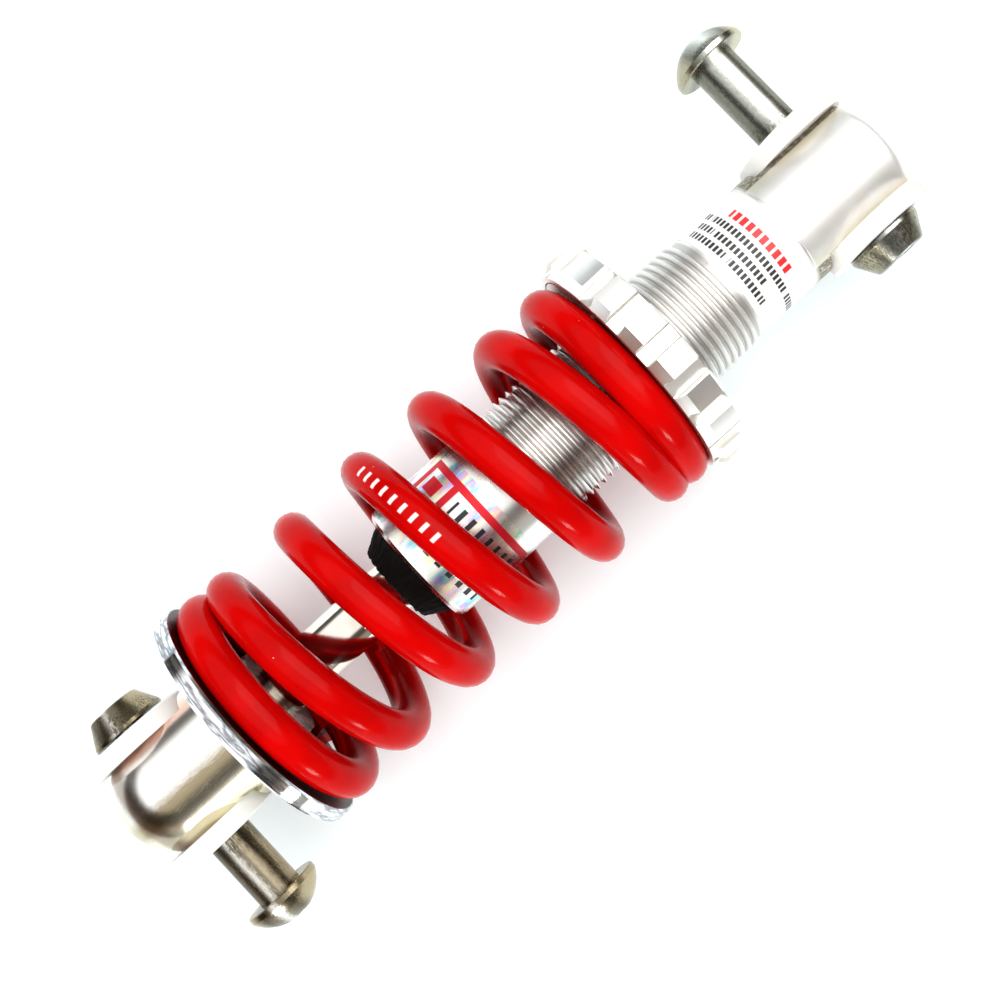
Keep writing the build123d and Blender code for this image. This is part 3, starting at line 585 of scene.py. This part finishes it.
def neckLabel():
    # white paper label: one red bar and three rows of plain dark dashes
    paper = Finish("neckLabel", Coat_Roughness=0.1)
    place = paper.point()
    x, y, z = paper.split(place)
    along = x / mm
    angle = paper.sum("ARCTAN2", y, z) * (180 / math.pi)
    arc = angle * (neckPrint["radius"] * math.pi / 180)
    fibre = paper.grain(place, (0.5, 0.5, 0.5), 3)
    cloud = paper.grain(place, (4, 4, 4), 2)
    colour = paper.mixed(cloud, (0.93, 0.93, 0.94), (0.87, 0.87, 0.86))
    ink = 0.0
    for row, (lineAt, left, right) in enumerate(zip(neckPrint["rows"], (13.0, 12.5, 12.0), (-15.0, -4.6, -7.3))):
        words = paper.grain(paper.joined(arc * 0.001, row * 0.5, 0.0), (1.7, 1.7, 1.7), 1)
        ticks = paper.between(paper.sum("FRACT", arc / 0.95), 0.14, 0.78, 0.08)
        half = neckPrint["rowTall"] / 2
        mark = paper.between(along, lineAt - half, lineAt + half, 0.06) * paper.between(arc, right, left, 0.1)
        ink = mark * ticks * paper.ease(words, 0.36, 0.40) + ink
    step = paper.between(paper.sum("FRACT", arc / 1.55), 0.1, 0.78, 0.05)
    half = neckPrint["headingTall"] / 2
    heading = paper.between(along, neckPrint["heading"] - half, neckPrint["heading"] + half, 0.06)
    heading = heading * paper.between(arc, -6.0, 8.5, 0.1) * step
    colour = paper.mixed(ink, colour, (0.02, 0.02, 0.022))
    colour = paper.mixed(heading, colour, (0.80, 0.01, 0.015))
    edge = paper.ease(along, 135.7, 136.1) * 0.35
    colour = paper.mixed(edge, colour, (0.45, 0.43, 0.4))
    return paper.feed(
        Base_Color=colour, Roughness=0.38 + fibre * 0.12, Coat_Weight=0.06 - ink * 0.05, Normal=paper.bump(fibre, 0.006))


def nutAluminium():
    # bright milled aluminium, with a touch of champagne painted reflection in a ring 21 to 22 mm from the axis
    nut = Finish("nutAluminium", Metallic=1.0)
    place = nut.point()
    x, y, z = nut.split(place)
    reach = nut.sum("SQRT", y * y + z * z) / mm
    lines = nut.grain(nut.joined(x, 0.0, 0.0), (0.2,) * 3, 3, 0.7)
    fine = nut.grain(place, (0.4, 0.4, 0.4), 3, 0.6)
    cloud = nut.grain(place, (6, 6, 6), 3)
    colour = nut.mixed(nut.ease(cloud, 0.35, 0.7), (0.97, 0.97, 0.97), (0.93, 0.92, 0.89))
    # painted reflection: a tan tint in a ring round the nut
    paintedGrooveReflection = nut.ease(reach, 22.3, 21.4) * nut.ease(reach, 20.6, 21.0)
    colour = nut.mixed(paintedGrooveReflection * 0.25, colour, (0.70, 0.62, 0.48))
    nick = nut.specks(place, 2.7, 0.12)
    colour = nut.mixed(nick * 0.6, colour, (0.25, 0.22, 0.18))
    rough = 0.24 + fine * 0.12 + lines * 0.08
    return nut.feed(Base_Color=colour, Roughness=rough, Normal=nut.bump(lines + fine, 0.005))


lean = (math.radians(-6), 0, 0)
upperPivot = (0.15, 0, 0)
finishes = {
    "nickel": eyeNickel(),
    "chrome": seatChrome(),
    "zinc": plated("brightZinc", (0.74, 0.71, 0.62), (0.58, 0.53, 0.42), 0.18, 0.3, 0.006, 2.5, 0.02),
    # painted shade: the locknut sits in the coil's shade and is painted dark
    "shadeSteel": plated("paintedShadeSteel", (0.34, 0.31, 0.24), (0.02, 0.018, 0.015), 0.16, 0.3, 0.006, 2.2, 0.02),
    "rodChrome": plated("rodChrome", (0.86, 0.83, 0.78), (0.78, 0.72, 0.64), 0.06, 0.25, 0.0015, 5.0, 0.005),
    "body": bodyAluminium(),
    "foil": foilLabel(),
    "paper": neckLabel(),
    "nut": nutAluminium(),
    # each bolt's tones are painted reflection bands across the bolt
    "lowerBolt": boltSteel("boltSteelLower", [
        (0.10, (0.34, 0.27, 0.14)), (0.26, (0.06, 0.045, 0.025)), (0.38, (0.20, 0.16, 0.11)), (0.47, (0.78, 0.76, 0.70)),
        (0.54, (0.22, 0.19, 0.14)), (0.68, (0.10, 0.08, 0.05)), (0.80, (0.42, 0.35, 0.22))]),
    "upperBolt": boltSteel("boltSteelUpper", [
        (0.12, (0.40, 0.37, 0.26)), (0.24, (0.16, 0.16, 0.13)), (0.36, (0.40, 0.42, 0.38)), (0.48, (0.84, 0.87, 0.81)),
        (0.60, (0.46, 0.47, 0.42)), (0.72, (0.15, 0.14, 0.10)), (0.84, (0.52, 0.48, 0.34))], lean, upperPivot),
    "turnedSteel": turnedMetal("turnedSteel", (0.62, 0.60, 0.57), (0.48, 0.46, 0.42), 0.25),
    "turnedAlloy": turnedMetal("turnedAlloy", (0.84, 0.83, 0.81), (0.72, 0.70, 0.66), 0.25),
    "bronze": turnedMetal("guideBronze", (0.66, 0.45, 0.22), (0.50, 0.33, 0.16), 0.3),
    "stopRubber": moulded(
        "stopRubber", (0.003, 0.003, 0.003), (0.006, 0.005, 0.005), 0.6, 0.5, 0.05,
        (0.10, 0.09, 0.08), 0.2, Specular_IOR_Level=0.12),
    "sealRubber": moulded(
        "sealRubber", (0.010, 0.010, 0.011), (0.018, 0.017, 0.016), 0.42, 0.4, 0.01, (0.1, 0.09, 0.08), 0.2),
    "nylon": moulded(
        "whiteNylon", (0.95, 0.95, 0.94), (0.91, 0.90, 0.87), 0.38, 0.9, 0.01,
        (0.55, 0.48, 0.38), 0.35, Subsurface_Weight=0.15, Subsurface_Scale=0.002),
    "bandPlastic": moulded("bandPlastic", (0.10, 0.16, 0.14), (0.07, 0.11, 0.10), 0.45, 0.6, 0.01),
}
wearing = {
    "nickel": ["lower_eye"], "chrome": ["spring_seat"], "zinc": ["preload_washer"], "shadeSteel": ["rod_locknut"], "rodChrome": ["piston_rod"],
    "body": ["damper_body"], "foil": ["foil_label"], "paper": ["upper_label"], "nut": ["preload_nut"],
    "lowerBolt": ["lower_sleeve_bolt", "lower_cone_screw"], "upperBolt": ["upper_sleeve_bolt", "upper_cone_screw"],
    "turnedSteel": ["piston_shims", "piston_nut", "circlip", "lower_spacer", "upper_spacer"],
    "turnedAlloy": ["piston", "gland"], "bronze": ["gland_bush"],
    "stopRubber": ["bump_stop", "rebound_bumper"], "sealRubber": ["rod_seal", "dust_wiper", "gland_o_ring"],
    "nylon": ["lower_bush_left", "lower_bush_right", "upper_bush_left", "upper_bush_right"], "bandPlastic": ["piston_band"]}
for finish, names in wearing.items():
    for name in names:
        wear(nodes[name], finishes[finish])
redCoat = redPowderCoat()
wear(wire, redCoat)
wear(nodes["coil_spring"], redCoat)
wear(bumpRubber, finishes["stopRubber"])
print("finishes:", len(bpy.data.materials))


# studio: pale floor, soft light from above, a bright window low at one side, a white card over the upper eye
studio = {
    "floorSize": 4.0, "floorGap": 0.0002, "cameraHigh": 0.217, "cameraAt": (0.07233, -0.00152),
    "cameraTurn": -42.57, "lens": 45.97}
bpy.ops.object.select_all(action="DESELECT")
low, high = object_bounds()
bpy.ops.mesh.primitive_plane_add(size=studio["floorSize"], location=(0.07, 0, low.z - studio["floorGap"]))
floor = bpy.context.object
floor.name = "studio_floor"
paperFloor = Finish("paleFloor", Specular_IOR_Level=0.1, Emission_Strength=0.2)
grainFloor = paperFloor.grain(paperFloor.point(), (40, 40, 40), 2)
pale = paperFloor.mixed(grainFloor, (0.85, 0.91, 0.94), (0.83, 0.90, 0.93))
wear(floor, paperFloor.feed(Base_Color=pale, Roughness=0.7 + grainFloor * 0.1, Emission_Color=pale))


def softLight(name, place, aim, size, power, colour, mirrored=True):
    panel = bpy.data.lights.new(name, "AREA")
    panel.shape = "RECTANGLE"
    panel.size, panel.size_y = size
    panel.energy = power
    panel.color = colour
    stand = bpy.data.objects.new(name, panel)
    bpy.context.scene.collection.objects.link(stand)
    stand.location = place
    stand.rotation_euler = (Vector(aim) - Vector(place)).to_track_quat("-Z", "Y").to_euler()
    stand.visible_glossy = mirrored
    return stand


centre = (0.075, 0, 0)
softLight("overhead", (0.05, 0.15, 0.9), centre, (0.9, 0.9), 5.5, (1.0, 0.985, 0.96), False)
softLight("window", (-0.35, -0.95, 0.30), centre, (0.26, 0.2), 5, (1.0, 0.99, 0.97))
card = softLight("card", (0.31, 0.05, 0.42), (0.14, 0, 0), (0.45, 0.45), 1.7, (1.0, 0.99, 0.97))
card.visible_diffuse = False

room = bpy.data.worlds.new("room")
bpy.context.scene.world = room
room.use_nodes = True
tree = room.node_tree
facing = tree.nodes.new("ShaderNodeTexCoord").outputs["Generated"]
dot = tree.nodes.new("ShaderNodeVectorMath")
dot.operation = "DOT_PRODUCT"
tree.links.new(facing, dot.inputs[0])
dot.inputs[1].default_value = Vector((0.0, 0.33, 1.0)).normalized()
shade = tree.nodes.new("ShaderNodeValToRGB")
tree.links.new(dot.outputs["Value"], shade.inputs[0])
for place, colour in (
        (0.12, (0.36, 0.27, 0.21)), (0.3, (0.09, 0.08, 0.07)), (0.56, (0.13, 0.12, 0.11)), (0.70, (1.25, 1.24, 1.21))):
    stop = shade.color_ramp.elements.new(place)
    stop.color = (*colour, 1)
shade.color_ramp.elements[0].color = (0.35, 0.34, 0.30, 1)
shade.color_ramp.elements[-1].color = (1.2, 1.19, 1.15, 1)
tree.links.new(shade.outputs[0], tree.nodes["Background"].inputs["Color"])

lensView = bpy.data.cameras.new("camera")
lensView.lens = studio["lens"]
lensView.sensor_width = 36
lensView.clip_start = 0.005
eye = bpy.data.objects.new("camera", lensView)
bpy.context.scene.collection.objects.link(eye)
eye.location = (*studio["cameraAt"], studio["cameraHigh"])
eye.rotation_euler = (0, 0, math.radians(studio["cameraTurn"]))
bpy.context.scene.camera = eye
bpy.context.scene.view_settings.view_transform = "Standard"
print("studio ready")
